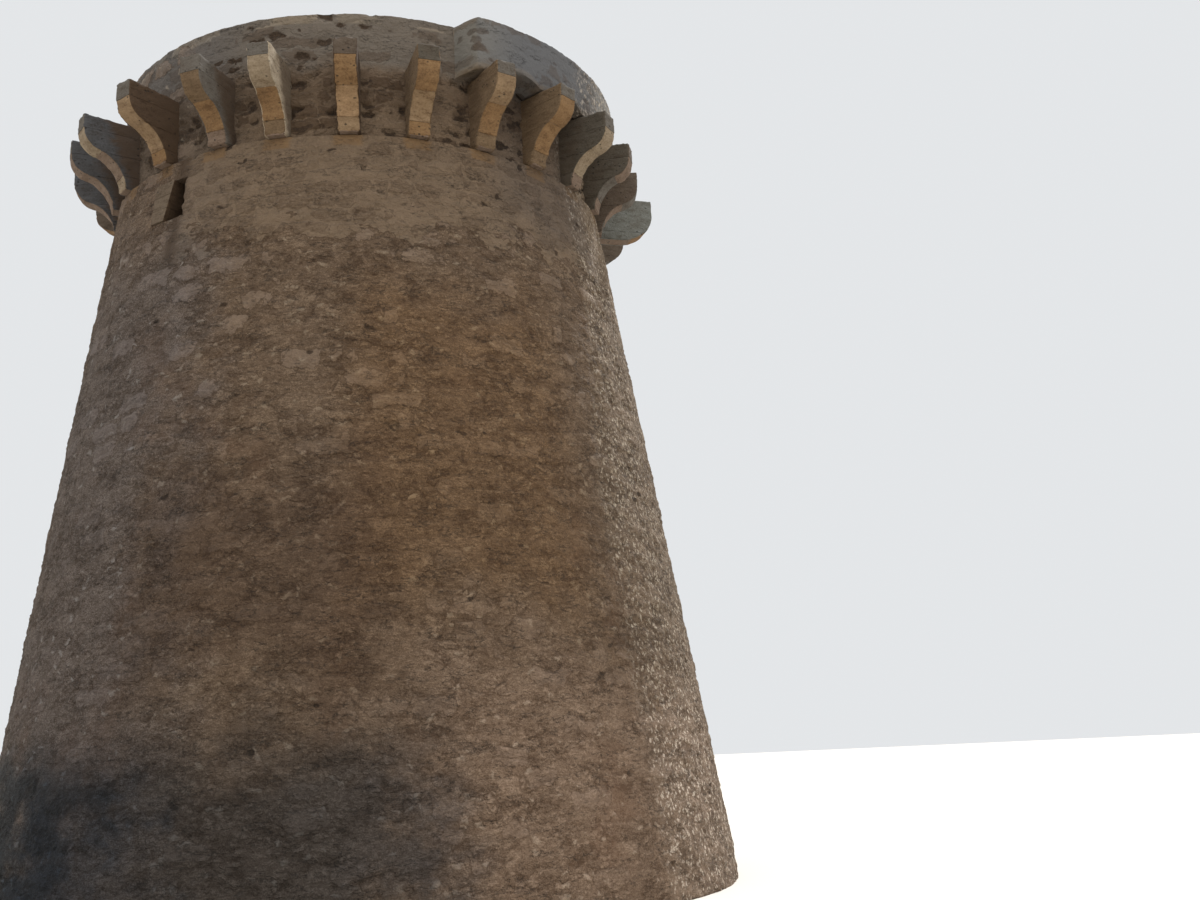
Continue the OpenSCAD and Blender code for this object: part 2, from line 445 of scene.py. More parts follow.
def towards(graph, place, azimuth):
    """How far a place faces an azimuth: 1 straight at it, 0 a quarter turn away."""
    angle = math.radians(azimuth)
    facing = graph.vector("NORMALIZE", graph.scaled(place, 1, 1, 0))
    return graph.vector("DOT_PRODUCT", facing, (math.sin(angle), -math.cos(angle), 0), output="Value")


def masonry(graph, place):
    """Fields of the masonry at a place in metres. All run from 0 to 1 but the height and the wobble."""
    height = graph.parts(place)[2]
    bend = graph.shifted(graph.noise(place, 3.2, 3.0, 0.62, output="Color"), (-0.5, -0.5, -0.5))
    bent = graph.shifted(place, graph.scaled(bend, 0.40, 0.40, 0.26))
    fine_bend = graph.noise(place, 15.0, 2.0, 0.6) - 0.5
    slab, slab_luck = in_rows(graph, bent, slab_size, 1.7)
    stone, stone_luck = in_rows(graph, bent, stone_size, 2.3)
    small = graph.stirred(graph.scaled(bent, *pebble_steps), place, 30.0, 2.0, 0.6, 0.9)
    pebble, pebble_luck = graph.lucky_cells(small)
    pebble = pebble.step(0.62, 0.2)
    hollow, hollow_luck = graph.lucky_cells(graph.scaled(bent, *hollow_steps))
    rough = graph.noise(place, 2.4, 3.0, 0.6, 1.6).step(0.38, 0.6, 0.25, 1.0)
    wobble = graph.noise(place, 1.7, 4.0, 0.6, 1.4) - 0.5
    ragged = wobble * towards(graph, place, 180).step(0.0, 0.5, 0.0, 1.6)
    coat = (towards(graph, place, bare_az) + ragged).step(0.0, 0.12, 1.0, 0.0)
    coat = (height + wobble * 1.8).step(*coat_z) * coat
    band = height.step(*band_z)
    rare = 0.945 - coat * 0.045 - band * 0.47 + height.step(*parapet_z, 0.0, 0.36)
    return SimpleNamespace(
        height=height,
        wobble=wobble,
        slab=(slab + fine_bend * 0.05).step(0.016, 0.028) * slab_luck[0].over(0.7),
        stone=(stone + fine_bend * 0.035).step(0.006, 0.022),
        tone=stone_luck[0],
        back=stone_luck[1],
        pebble=pebble,
        pebble_tone=pebble_luck,
        rough=rough,
        crevice=(1.0 - pebble) * rough,
        hollow=(hollow - (band * 0.16 + 0.3)).step(0.0, -0.14) * (hollow_luck - rare).over(0.0),
        coat=coat,
        lump=graph.noise(place, 6.0, 3.0, 0.6, 1.6),
        grain=graph.noise(place, 22.0, 3.0, 0.7, 1.6),
        bare=graph.noise(place, 0.9, 2.0, 0.5),
    )


print("common stones about", stone_size[0], "m wide in rows", stone_size[1], "m high")

# %% [markdown]
# Weathering as real relief
#
# The relief is a Geometry Nodes tree with named inputs for its depths. Each point moves
# against its outward direction. The rubble starts a finger's breadth fuller than the
# construction and wears back to it on the whole. Mortar lies a little behind the stones,
# single stones and slabs stand back or forward, small stones show in rough patches, the
# hollows are cut in, and a coat of mortar is left on the highest part.

# %% The weathering tree
depth_names = ["Joint depth", "Stone depth", "Lump depth", "Pebble depth", "Grain depth", "Hole depth",
               "Edge wear"]


def weather(graph, geometry, direction, depths):
    """Adds the weathering to a geometry tree and returns the worn geometry."""
    place = graph.node("GeometryNodeInputPosition")
    fields = masonry(graph, place)
    joint = (1.0 - fields.stone) * fields.bare.step(0.35, 0.6, 0.3, 1.0)
    joint = joint + (1.0 - fields.coat) * (1.0 - fields.slab) * 0.8
    back = fields.stone * fields.back
    chip = graph.stored("edge") * graph.noise(place, 11.0, 2.0, 0.6).step(0.35, 0.75, 0.3, 1.6)
    parts = [joint, back, fields.lump, fields.crevice, fields.grain, fields.hollow, chip]
    depth = sum(part * size for part, size in zip(parts, depths))
    offset = graph.node("ShaderNodeVectorMath", {"operation": "SCALE"}, {0: direction, "Scale": depth * -1.0})
    return graph.moved(geometry, offset)


def geometry_tree(name, numbers):
    """An empty geometry tree with a mesh input, the named number inputs and a material input."""
    tree = bpy.data.node_groups.new(name, "GeometryNodeTree")
    names = ("Geometry", *numbers, "Material")
    for socket in names:
        kind = "Float" if socket in numbers else socket
        tree.interface.new_socket(socket, in_out="INPUT", socket_type="NodeSocket" + kind)
    tree.interface.new_socket("Geometry", in_out="OUTPUT", socket_type="NodeSocketGeometry")
    graph = Graph(tree)
    return graph, dict(zip(names, graph.node("NodeGroupInput", {}, {}, names)))


def close_tree(graph, geometry, material):
    """Ends a geometry tree in real points and one material."""
    real = graph.node("GeometryNodeRealizeInstances", {}, {"Geometry": geometry})
    painted = graph.node("GeometryNodeSetMaterial", {}, {"Geometry": real, "Material": material})
    graph.node("NodeGroupOutput", {}, {0: painted}, ())
    return graph.tree


graph, given = geometry_tree("weathered masonry", depth_names)
depths = [given[name] for name in depth_names]
worn = weather(graph, given["Geometry"], graph.stored("outward", "FLOAT_VECTOR"), depths)
weather_tree = close_tree(graph, worn, given["Material"])
print("weathering tree", len(weather_tree.nodes), "nodes")

# %% Using a tree on an object
made_triangles = {}
sharp_angle = 55


def grown(name, shells, depths, material, tree=weather_tree, more=None):
    """The plain mesh that a geometry tree makes from closed blocks, worn by the given depths."""
    source = shell_object(name, shells)
    values = dict(zip(depth_names, depths)) | {"Material": material} | (more or {})
    modifier = source.modifiers.new(tree.name, "NODES")
    modifier.node_group = tree
    for item in tree.interface.items_tree:
        if item.in_out == "INPUT" and item.name in values:
            modifier[item.identifier] = values[item.name]
    graph = bpy.context.evaluated_depsgraph_get()
    mesh = bpy.data.meshes.new_from_object(source.evaluated_get(graph))
    bpy.data.objects.remove(source)
    return put(name, mesh)


def settle(made, slot, *nodes):
    """Shades a finished piece, and rides it on the frame in place of its nodes."""
    made.data.shade_smooth()
    made.data.set_sharp_from_angle(angle=math.radians(sharp_angle))
    made.data.calc_loop_triangles()
    made_triangles[made.name] = len(made.data.loop_triangles)
    if nodes:
        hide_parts(*nodes)
    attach(made, "root")


def weathered(node, shells, material, depths, slot, name=""):
    """A finished face of masonry in place of a node."""
    settle(grown(name or node + "_face", shells, depths, material), slot, node)


print("pieces ride on root")

# %% [markdown]
# Colours of the stone
#
# The wall is one warm brown from afar, but close up it is a mix of ochre sand in the mortar,
# paler slabs, dark pitted stones and reddish stains, under a tan band where the upper wall
# kept its lime. Colours are written in linear light. Each finish is a shader that mixes a
# few of them by the masonry fields, and a bump that carries the grain finer than the mesh.

# %% Palette in linear light
thousandths = {
    "brown": (112, 74, 46),
    "umber": (60, 36, 20),
    "sand": (200, 140, 92),
    "tan": (185, 132, 86),
    "slab": (172, 124, 86),
    "rust": (136, 74, 41),
    "ash": (131, 115, 97),
    "chalk": (131, 129, 123),
    "slate": (61, 60, 61),
    "taupe": (70, 58, 43),
    "dusk": (88, 66, 48),
    "dun": (108, 79, 53),
    "clay": (130, 86, 48),
    "stone": (100, 87, 72),
    "moss": (128, 129, 114),
    "soot": (16, 13, 10),
    "fawn": (152, 107, 77),
    "ochre": (180, 106, 49),
    "honey": (206, 138, 78),
    "cream": (258, 166, 90),
    "buff": (215, 165, 110),
    "bone": (330, 270, 195),
    # A painted highlight: the flecks of sunlight on the grazed strip
    "glint": (400, 335, 255),
}
palette = {name: (*(part / 1000 for part in parts), 1) for name, parts in thousandths.items()}


class Paint:
    """The colour of a finish, laid on in coats. Each coat covers a share of those before."""

    def __init__(self, graph, name):
        self.graph = graph
        self.colour = palette[name]

    def cover(self, colour, share):
        self.colour = self.graph.mix(self.colour, colour, share)

    def add(self, name, share):
        self.cover(palette[name], share)

    def tint(self, factors, share):
        """Multiplies the colour by factors, which keeps the contrast that it has."""
        self.cover(self.graph.scaled(self.colour, *factors), share)


def shader(name):
    """A new material with an empty graph, and its place socket."""
    material = bpy.data.materials.new(name)
    material.use_nodes = True
    material.node_tree.nodes.clear()
    graph = Graph(material.node_tree)
    return material, graph, graph.node("ShaderNodeTexCoord", {}, {}, "Object")


def finish_shader(graph, colour, height, distance, roughness):
    """Ends a shader in a rough surface with a bump of that height."""
    values = {"Strength": 1.0, "Distance": distance, "Height": height}
    normal = graph.node("ShaderNodeBump", {}, values, "Normal")
    values = {"Base Color": colour, "Roughness": roughness, "Normal": normal, "Specular IOR Level": 0.25}
    surface = graph.node("ShaderNodeBsdfPrincipled", {}, values, "BSDF")
    graph.node("ShaderNodeOutputMaterial", {}, {"Surface": surface}, ())


def beside_corbel(graph, place):
    """Metres along the wall from the upright middle line of the nearest corbel."""
    x, y = graph.parts(place)[:2]
    azimuth = x.maths("ARCTAN2", y * -1.0) * math.degrees(1)
    turns = ((azimuth - corbel_az) * (1 / corbel_pitch) + 0.5).maths("FRACT") - 0.5
    return turns.maths("ABSOLUTE") * (math.radians(corbel_pitch) * wall_top_r)


print("palette of", len(palette), "colours")

# %% [markdown]
# Where the weather shows
#
# The drum isn't one colour all round. Dust lies low on the right, one flank is warm and dry,
# the side away from the sun gets a painted cool skylight, painted shade lies high under the
# corbels on the right, and painted shadow over damp keeps the foot dark on the left. Each such
# zone is a row of numbers: the factors of its tint, the azimuth in its middle, how ragged its
# sides are, how far a place faces that azimuth where the zone starts and where it is full, the
# height that bounds it, and the soft steps of that height between its ends.

# %% Zones of the weather
# The side with painted cool skylight: its azimuth, raggedness and steps
skylit_side = (-14, 0.25, (0.83, 0.99))
zones = {
    "dusty": ((1.42, 1.42, 1.5), 78, 0.0, (0.72, 0.97), "wavy", [(3.0, 1.6)]),
    # Painted cool skylight on the side away from the sun
    "painted_skylight": ((0.74, 0.9, 1.25), *skylit_side, "wavy", [(6.0, 8.0, 0.8, 0.16)]),
    "warm": ((1.03, 0.92, 0.76), 58, 0.0, (0.9, 0.985), "wavy", [(2.2, 3.4), (6.8, 5.6)]),
    "dark": ((0.72, 0.68, 0.66), 24, 0.0, (0.9, 0.98), "wavy", [(1.9, 2.7), (4.8, 3.9)]),
    # Painted shade high under the corbels on the right
    "painted_corbel_shade": ((0.75, 0.78, 0.86), 84, 0.0, (0.94, 0.99), "wavy", [(6.9, 7.6)]),
    # Painted shadow over damp at the foot on the left, in two depths
    "damp_and_shadow": ((0.40, 0.47, 0.60), 18, 0.3, (0.76, 0.93), "mottled", [(2.4, 1.2)]),
    "deep_damp_and_shadow": ((0.30, 0.38, 0.46), -25, 0.8, (0.78, 1.0), "mottled", [(2.0, 1.5)]),
}
# The low sun grazes the wall from the first azimuth, and painted sunlight lies on a strip round the second
sun_az = 174
sunlit_strip_az = 102
# Heights on the upper wall between which a belt of painted shade starts and ends, and the lime starts
shade_belt_z = (8.35, 8.75)
shade_belt_end_z = (9.16, 8.94)
lime_z = (8.92, 9.18)
# Pale stones lie along the rim, and ochre beds under the corbels
coping_z = (rim_z - 0.13, rim_z - 0.1)
bed_z = (wall_top_z - 0.15, wall_top_z - 0.12)
print("zones", list(zones))

# %% The rubble finish


def rubble(name, upper="", cover=0.0, bump_depth=0.045):
    """The finish of the rubble wall. upper names the lime of the smoother upper masonry, cover its share."""
    material, graph, place = shader(name)
    fields = masonry(graph, place)
    height, wobble, stone = fields.height, fields.wobble, fields.stone
    streaks = graph.noise(place, 24.0, 4.0, 0.75, 2.4)
    specks = graph.noise(place, 70.0, 2.0, 0.7, 1.3)
    layers = graph.noise(place, 2.6, 4.0, 0.65, 4.0)
    ledges = graph.noise(place, 12.0, 3.0, 0.6, 3.0)
    stain = graph.noise(graph.shifted(place, (7.0, 3.0, 5.0)), 0.8, 3.0, 0.55)
    heights = {"wavy": height + (stain - 0.5) * 2.4, "mottled": height + wobble * 1.1 + (stain - 0.5) * 0.8}
    wavy = heights["wavy"]

    def side(azimuth, raggedness, steps):
        """1 on the side that faces an azimuth, with a ragged border."""
        facing = towards(graph, place, azimuth)
        return (facing + wobble * raggedness if raggedness else facing).step(*steps)

    def above(raggedness, steps):
        """1 above a ragged border."""
        return (height + wobble * raggedness).step(*steps)

    # Mortar and stones in several browns
    # The share of the side with painted cool skylight, which also gets a stronger grain and more grit
    skylight_share = side(*skylit_side)
    tone = 0.5 + (streaks - 0.5) * 2.2 + (specks - 0.5) * (skylight_share * 2.2 + 2.6) + (ledges - 0.5) * 1.4
    tone = tone + wobble * 0.4 + (layers - 0.5) * 0.4 + (fields.lump - 0.5) * 0.4
    tone = tone + (fields.tone - 0.45) * stone * 0.45
    tone = tone + (fields.pebble_tone - 0.5) * fields.rough * 0.8 - fields.crevice * 0.5 + 0.19
    paint = Paint(graph, "umber")
    paint.add("brown", tone.step(-0.3, 0.5))
    paint.add("sand", tone.step(0.45, 1.4))
    paint.add("rust", stain.step(0.55, 0.72) * 0.25)

    # Lime on the upper wall, or the coat of mortar on the drum
    common = stone * fields.tone.over(0.55)
    rim_of_stone = stone.rim() * fields.tone.over(0.45)
    if upper:
        paint.add("tan", 0.48 - common * 0.3)
        paint.add("umber", common * 0.62 + rim_of_stone * 0.3)
        # Painted shade in a belt under the parapet, darkest beside the corbels
        painted_shade_belt = above(0.3, shade_belt_z) * above(0.6, shade_belt_end_z)
        paint.add("umber", painted_shade_belt * beside_corbel(graph, place).step(0.5, 0.14, 0.55, 1.0) * 0.4)
        paint.add(upper, above(0.6, lime_z) * (cover - common * 0.35))
        if upper == "ash":
            paint.add("bone", above(0.06, coping_z) * fields.tone.step(0.1, 0.9, 0.0, 0.45))
        # Painted cool skylight on the side away from the sun
        paint.tint((0.80, 0.83, 0.88), side(-14, 0.0, (0.8, 0.99)))
        # Painted warm light from the ground on the faces seen from below
        paint.add("buff", graph.attribute("flank") * 0.3)
        # Painted light on the ends of the projecting parapet, which are marked as another course
        paint.tint((1.12, 1.08, 1.0), graph.attribute("course"))
    else:
        paint.add("tan", fields.coat * 0.62)
        paint.add("umber", common * fields.coat * (0.34 + (streaks - 0.5) * 2.4))
        paint.add("umber", rim_of_stone * fields.coat * (streaks - 0.3) * 1.4)
        # Painted shadow along the border of the coat
        paint.add("umber", fields.coat.rim() * 0.8)
        bed = (beside_corbel(graph, place) + (layers - 0.5) * 0.12).step(0.18, 0.12) * above(0.1, bed_z)
        paint.add("ochre", bed * tone.step(0.0, 0.8, 0.45, 0.85))

    # Pale slabs and grit where there is no coat
    uncoated = 1.0 - fields.coat
    pale = fields.slab * uncoated * (fields.bare + (streaks - 0.5) * 0.6).step(0.3, 0.45)
    pale = pale * wavy.step(3.5, 6.0, 0.45, 1.0)
    paint.add("slab", pale * 0.55)
    paint.tint((1.13, 1.13, 1.15), pale)
    paint.add("umber", fields.slab.rim() * uncoated * 0.6)
    grit = fields.pebble * fields.pebble_tone.over(0.945) * uncoated
    paint.add("bone", grit * (0.25 + skylight_share * 0.2))

    # On the strip that the sun grazes: painted sunlight, bright flecks as painted highlights, and dark pits
    # of painted shade between them
    painted_sunlight = (towards(graph, place, sun_az) - wavy.step(4.4, 6.6, 0.0, 0.12)).step(-0.04, 0.04)
    painted_sunlight = painted_sunlight * side(sunlit_strip_az, 0.6, (0.6, 0.98))
    chips = graph.scaled(graph.stirred(place, place, 22.0, 2.0, 0.6, 0.08), 1.0, 1.0, 0.85)
    glint, glint_luck = graph.lucky_cells(chips, 25.0)
    painted_sun_flecks = glint.step(0.6, 0.25) * (glint_luck + (specks - 0.5) * 1.2).step(0.4, 0.9)
    # Painted shade in the gaps between the flecks
    paint.tint((0.74, 0.72, 0.70), painted_sunlight * glint.step(0.45, 0.8))
    # Painted sunlight on the strip and its pebbles, and painted highlights in the flecks
    paint.add("bone", painted_sunlight * (0.06 + fields.pebble * fields.pebble_tone * 0.2))
    paint.add("glint", painted_sunlight * painted_sun_flecks * 0.9)

    # Painted shade in the hollows, then the zones and the cracks
    hollow = fields.hollow * (0.45 if upper == "chalk" else 0.9)
    paint.add("umber", hollow)
    paint.add("soot", hollow * (streaks + specks).step(1.2, 0.9) * 0.6)
    for factors, azimuth, raggedness, steps, bound, ends in zones.values():
        share = side(azimuth, raggedness, steps)
        for end in ends:
            share = share * heights[bound].step(*end)
        paint.tint(factors, share)
    ridge = graph.noise(place, 7.0, 4.0, 0.65, 2.8)
    crack = (ridge - 0.5).maths("ABSOLUTE").step(0.016, 0.004) * layers.step(0.5, 0.6)
    paint.add("soot", crack * 0.55)
    if not upper:
        # Painted shade inside an opening
        depth = base_r - height * batter - graph.from_axis(place)
        paint.add("soot", depth.step(0.08, 0.16) * 0.9)
    bump = fields.grain * 0.5 + streaks * 0.4 + specks * 0.2 + stone * 0.2
    finish_shader(graph, paint.colour, bump - fields.crevice * 0.4 - crack * 0.4, bump_depth, 0.93)
    return material


rubble_finish = rubble("weathered rubble")
upper_finish = rubble("limed upper masonry", "ash", 0.75, 0.035)
chalky_finish = rubble("chalky projecting masonry", "chalk", 0.92, 0.015)
print(rubble_finish.name, "and", upper_finish.name, "and", chalky_finish.name)

# %% The cut stone finish
letters = "ksunbdtgmrohcpw"
stops = ["soot", "slate", "umber", "taupe", "dusk", "dun", "clay", "stone", "moss", "fawn", "ochre", "honey",
         "cream", "buff", "bone"]
tones = {letter: number / len(letters) for number, letter in enumerate(letters)}
# A corbel's flank gets painted shade behind a leaning line, most of all on the side that faces this azimuth
shaded_az = -20
shade_slope = 0.4
shade_from_nose = 0.24


def cut_stone(name):
    """The finish of soft cut stone. The tone attribute says which of the stops a stone has."""
    material, graph, place = shader(name)
    tone = graph.attribute("tone")
    paint = Paint(graph, stops[0])
    for number, stop in enumerate(stops[1:]):
        middle = (number + 0.5) / len(stops)
        paint.add(stop, tone.step(middle - 0.02, middle + 0.02))
    grain = graph.noise(place, 42.0, 4.0, 0.7, 1.5)
    cloud = graph.noise(place, 7.0, 4.0, 0.6, 2.0)
    stain = graph.noise(graph.shifted(place, (3.0, 1.0, 2.0)), 3.5, 3.0, 0.6)
    beds = graph.noise(place, 5.0, 3.0, 0.6, 5.0)
    pit = graph.cells(graph.scaled(place, 1.0, 1.0, 1.4), 15.0).step(0.27, 0.12) * cloud.step(0.47, 0.6)
    mottle = (grain - 0.5) * 2.8 + (cloud - 0.5) * 1.8 + (beds - 0.5) * 1.8
    dark = graph.scaled(paint.colour, 0.52, 0.46, 0.40)
    pale = graph.scaled(paint.colour, 1.32, 1.36, 1.42)
    paint.cover(dark, mottle.step(0.1, -0.8) * 0.85)
    paint.cover(pale, mottle.step(0.0, 0.75) * 0.8)
    paint.add("umber", stain.step(0.5, 0.75) * 0.3)
    # Painted shade on the back part of each flank, behind a leaning line
    rear_r = (graph.parts(place)[2] - band_top_z) * shade_slope + parapet_r + corbel_reach - shade_from_nose
    flank_shade = (rear_r - graph.from_axis(place) + (cloud - 0.5) * 0.3).step(-0.07, 0.09)
    flank_shade = flank_shade * graph.attribute("flank") * towards(graph, place, shaded_az).step(0.45, 0.75, 0.3, 1.0)
    paint.add("umber", flank_shade * 0.8)
    paint.add("soot", pit * 0.8)
    finish_shader(graph, paint.colour, grain * 0.5 + cloud * 0.5 - pit * 0.5, 0.018, 0.9)
    return material


cut_finish = cut_stone("soft cut stone")


def plain_masonry(name, first, second, scale):
    """A quieter finish for the masonry inside and the terrace."""
    material, graph, place = shader(name)
    grain = graph.noise(place, 26.0, 4.0, 0.65)
    cloud = graph.noise(place, 2.0, 3.0, 0.6)
    bent = graph.stirred(place, place, 5.0, 3.0, 0.6, 0.25)
    edge = graph.cells(bent, scale, "DISTANCE_TO_EDGE").step(0.0, 0.09)
    colour = graph.mix(palette[first], palette[second], (grain + cloud - 0.5).step(0.2, 0.8))
    colour = graph.mix(palette["umber"], colour, 0.72 + edge * 0.28)
    finish_shader(graph, colour, grain * 0.4 + edge * 0.6, 0.012, 0.94)
    return material


inside_finish = plain_masonry("chamber masonry", "brown", "sand", 3.0)
paving_finish = plain_masonry("worn lime paving", "brown", "buff", 3.2)
print("finishes", [m.name for m in bpy.data.materials])

# %% [markdown]
# The battered wall
#
# The drum leans in by 157 mm for each metre of height and carries the whole weathered face,
# so it gets the finest grid that the triangle count allows. It stays in the eight lengths of
# the construction, and the relief runs on from one to the next because it is worked out
# from the place alone.

# %% Eight lengths of wall
fine_cell = 0.0265
wall_cell = 0.036
wall_fuller = 0.03
wall_depths = [0.012, 0.010, 0.016, 0.013, 0.008, 0.016, 0.0]
slit_sides = upright(0, -slit_zone), upright(0, slit_zone)
door_sides = upright(180, -door_zone), upright(180, door_zone)
eighths = ["front_right", "right_front", "right_back", "back_right", "back_left", "left_back", "left_front",
           "front_left"]
seen_closest = ("front_right", "right_front", "right_back", "front_left")
eighth = 45
# Lengths that start or end beside the masonry of an opening
starts = {"front_right": slit_sides[1], "back_left": door_sides[1]}
ends = {"back_right": door_sides[0], "front_left": upright(360, -slit_zone)}


def drum_face(node, start, end, low=0.0, high=wall_top_z, cell=fine_cell):
    """The weathered face of one length of the drum."""
    length = wall_length(start, end, low, high, ("outer",), cell, chamber_r, fuller=wall_fuller)
    weathered(node, [length], rubble_finish, wall_depths, "rubble_wall")


for number, name in enumerate(eighths):
    start = starts.get(name, level(eighth * number))
    end = ends.get(name, level(eighth * (number + 1)))
    drum_face("wall_" + name, start, end, cell=fine_cell if name in seen_closest else wall_cell)
print("wall triangles", sum(made_triangles.values()))

# %% Under the loophole, and round the doorway
drum_face("wall_under_loophole", *slit_sides, 0.0, sill_z)
drum_face("wall_under_doorway", *door_sides, 0.0, threshold_z)
drum_face("wall_over_doorway", *door_sides, door_lintel_top_z)
print("with the openings' walls", sum(made_triangles.values()))

# %% [markdown]
# The loophole
#
# The slit widens inwards through the whole wall. A lintel and a sill close it, and on the
# left three squared stones make its jamb, while the right jamb is rubble. The reveal shows
# from an angle, so its depth gets grid steps too.

# %% Sill, lintel and jambs of the loophole
reveal_cell = 0.06
slit_cell = 0.026
inner_jamb_cell = 0.05
jamb_stone_count = 3
jamb_width = 0.22
jamb_depth = 0.42
jamb_r = wall_r(slit_z) - jamb_depth
jamb_joint = 0.002
left_lean = 0.09
right_lean = -0.045


def splayed(side):
    """The side of the slit, which widens towards the chamber. side is 1 for +X."""
    slit_outer_r = wall_r(slit_z)
    spread = (slit_inner_half - slit_half) / (slit_outer_r - chamber_r)
    return lambda r: side * np.degrees(np.arcsin((slit_half + spread * (slit_outer_r - r)) / r))


def opening_length(start, end, low, high, worn=("outer",), inner=chamber_r):
    return wall_length(start, end, low, high, worn, slit_cell, inner, wall_r, reveal_cell, fuller=wall_fuller)


def slit_face(node, *shells, name=""):
    weathered(node, shells, rubble_finish, wall_depths, "dressed_stone", name)


def jamb_back(r):
    return splayed(-1)(r) - math.degrees(jamb_width / wall_top_r)


def lean_over(made, fixed, edge, metres):
    """Leans the edge of a jamb over the slit towards its top. Its fixed side stays."""
    x, y, z = made["points"].T
    reach = np.hypot(x, y)
    share = (np.degrees(np.arctan2(x, -y)) - fixed(reach)) / (edge(reach) - fixed(reach))
    made["points"][:, 0] += metres * share * (z - slit_z) / (slit_top_z - slit_z)


slit_face("loophole_sill", opening_length(*slit_sides, sill_z, slit_z))
slit_face("loophole_lintel", opening_length(*slit_sides, slit_top_z, wall_top_z))
left_outer = opening_length(slit_sides[0], jamb_back, slit_z, slit_top_z)
left_inner = wall_length(jamb_back, splayed(-1), slit_z, slit_top_z, ("end",), inner_jamb_cell, chamber_r,
                         lambda z: np.full_like(z, jamb_r), reveal_cell)
right = opening_length(splayed(1), slit_sides[1], slit_z, slit_top_z, ("outer", "start"))
lean_over(right, slit_sides[1], splayed(1), right_lean)
slit_face("loophole_jambs", left_outer, left_inner, right, name="loophole_jamb_faces")
jamb_stones = []
jamb_courses = np.linspace(slit_z, slit_top_z, jamb_stone_count + 1)
for number, (low, high) in enumerate(zip(jamb_courses[:-1], jamb_courses[1:])):
    beds = low + jamb_joint, high - jamb_joint
    stone = opening_length(jamb_back, splayed(-1), *beds, ("outer", "end"), jamb_r)
    stone |= {"course": np.full_like(stone["edge"], number), "flank": stone["beside"]}
    lean_over(stone, jamb_back, splayed(-1), left_lean)
    jamb_stones.append(stone)
print("loophole", round(2 * slit_half, 2), "m wide,", round(slit_top_z - slit_z, 2), "m high")

# %% Tones of cut stones


def read(things, key, kind=np.float32):
    """One number of each vertex, corner or face of a mesh."""
    values = np.zeros(len(things), kind)
    things.foreach_get(key, values)
    return values


def paint_tones(made, choose):
    """Writes the tone of each face from its corbel, its course and whether it is on a flank."""
    mesh = made.data
    corners = read(mesh.loops, "vertex_index", np.int32)
    firsts = read(mesh.polygons, "loop_start", np.int32)
    numbers = np.zeros((3, len(mesh.polygons)))
    for row, key in zip(numbers, ("corbel", "course", "flank")):
        if key in mesh.attributes:
            row[:] = np.maximum.reduceat(read(mesh.attributes[key].data, "value")[corners], firsts)
    kinds, which = np.unique(np.round(numbers).astype(int), axis=1, return_inverse=True)
    chosen = np.array([tones[choose(*kind)] for kind in kinds.T], np.float32)
    mesh.attributes.new("tone", "FLOAT", "FACE").data.foreach_set("value", chosen[which.ravel()])


def toned(name, shells, fronts, flank, *nodes):
    """A finished piece of cut stones. fronts has a tone letter for each course, flank one for the sides."""
    made = grown(name, shells, stone_depths, cut_finish)
    paint_tones(made, lambda corbel, course, side: flank if side else fronts[course])
    settle(made, "dressed_stone", *nodes)


stone_depths = [0.0, 0.0, 0.010, 0.003, 0.004, 0.0, 0.008]
# The reveal of the jamb stones is umber: painted shade inside the slit
toned("loophole_jamb_stones", jamb_stones, "ddd", "u")
print("jamb stones", len(jamb_stones))

# %% [markdown]
# The raised doorway
#
# The doorway is on the side away from the loophole, 5.2 m up, reached by a ladder. Its jambs
# are stacks of squared stones, and one long stone each makes the lintel and the threshold.

# %% Jambs, lintel and threshold of the doorway
course_shares = np.cumsum([0, 0.19, 0.13, 0.21, 0.14, 0.18, 0.15])
door_courses = floor_z + (door_top_z - floor_z) * course_shares
door_joint = 0.004
door_cell = 0.04
door_depth_cell = 0.09
short_stone = 0.12
mortar_inset = 0.012


def door_block(start, end, low, high, worn, inset=0.0, course=0.0):
    return wall_length(start, end, low, high, worn, door_cell, chamber_r, lambda z: wall_r(z) - inset,
                       door_depth_cell, course)


for side, node in ((-1, "doorway_jamb_left"), (1, "doorway_jamb_right")):
    stones = []
    # Long and short stones take turns, and the last block is the mortar behind them
    courses = [(low + door_joint, high - door_joint, short_stone * (number % 2), 0.0)
               for number, (low, high) in enumerate(zip(door_courses[:-1], door_courses[1:]))]
    courses.append((floor_z, door_top_z, 0.0, mortar_inset))
    for number, (low, high, short, inset) in enumerate(courses):
        # A jamb seen from outside: azimuth grows towards -X on this side
        near, far = upright(180, -side * (door_half + inset)), upright(180, -side * (door_zone - short))
        start, end, reveal = (near, far, "start") if side < 0 else (far, near, "end")
        stone = door_block(start, end, low, high, ("outer", "top", "bottom", reveal), inset, float(number))
        stone["flank"] = stone["beside"]
        stones.append(stone)
    toned(node + "_stones", stones, "rdrdrdb", "t", node)
lintel = door_block(*door_sides, door_top_z, door_lintel_top_z, ("outer", "bottom"))
toned("doorway_lintel_stone", [lintel], "r", "t", "doorway_lintel")
threshold = door_block(*door_sides, threshold_z, floor_z, ("outer", "top"))
toned("doorway_threshold_stone", [threshold], "r", "r", "doorway_threshold")
print("doorway", round(2 * door_half, 2), "m wide,", round(door_top_z - floor_z, 2), "m high")

# %% [markdown]
# The corbels
#
# A corbel is a stack of cut stones with one side view: an upright nose, a swell under it and
# a hollow down to the foot. Each stone is a block whose outer face follows that line, with
# lean mortar behind the joints. One corbel is made, and a Geometry Nodes tree sets it round
# the tower, turns each a little out of true and then weathers them where they stand, so
# no two are alike.

# %% The side view of a corbel
nose_r = parapet_r + corbel_reach
nose_z = band_top_z - nose_h
foot_r = wall_top_r + foot_reach
turn = 2 * math.atan2(nose_r - foot_r, nose_z - wall_top_z)
hollow_r = (nose_z - wall_top_z) / math.sin(turn) - swell_r


